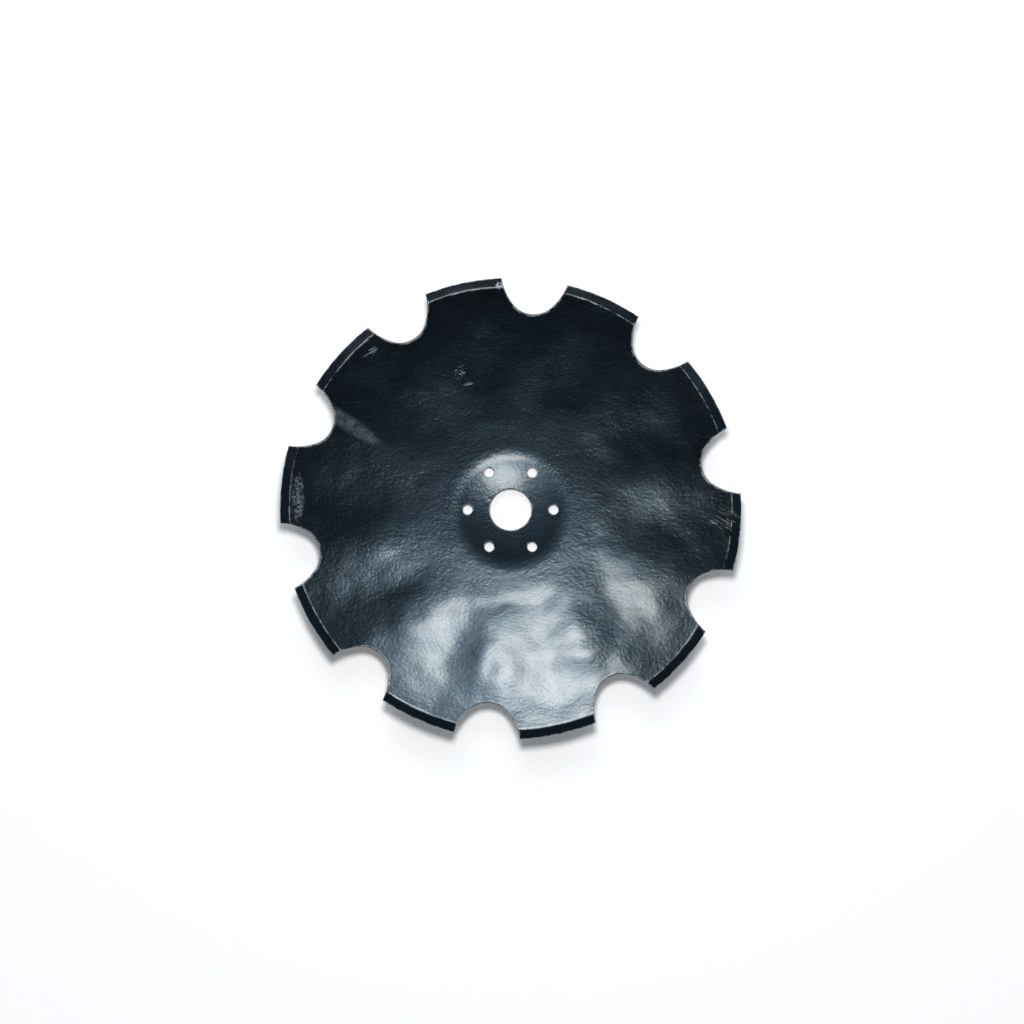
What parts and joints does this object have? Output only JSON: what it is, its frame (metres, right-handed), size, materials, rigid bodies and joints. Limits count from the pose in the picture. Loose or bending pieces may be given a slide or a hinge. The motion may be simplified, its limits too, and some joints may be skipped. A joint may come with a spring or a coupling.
{
  "type": "harrow disc blade",
  "caption": "Dished round steel disc blade with a scalloped, ground cutting edge, a raised hub with a centre hole and a ring of bolt holes, for slicing and turning soil on a disc harrow.",
  "frame": {"origin": "on the centre hole's axis, level with the lowest ring of the convex back, which the blade rests on", "axes": "+Z along the centre hole's axis towards the hollow face; +X through the middle of one bolt hole"},
  "size_m": [0.5599, 0.5596, 0.063],
  "materials": {
    "dipped_paint": "blue-black dipped paint, semi-gloss, over pressed and hardened steel"
  },
  "bodies": {
    "root": {"disc_blade": "dipped_paint"}
  },
  "joints": []
}
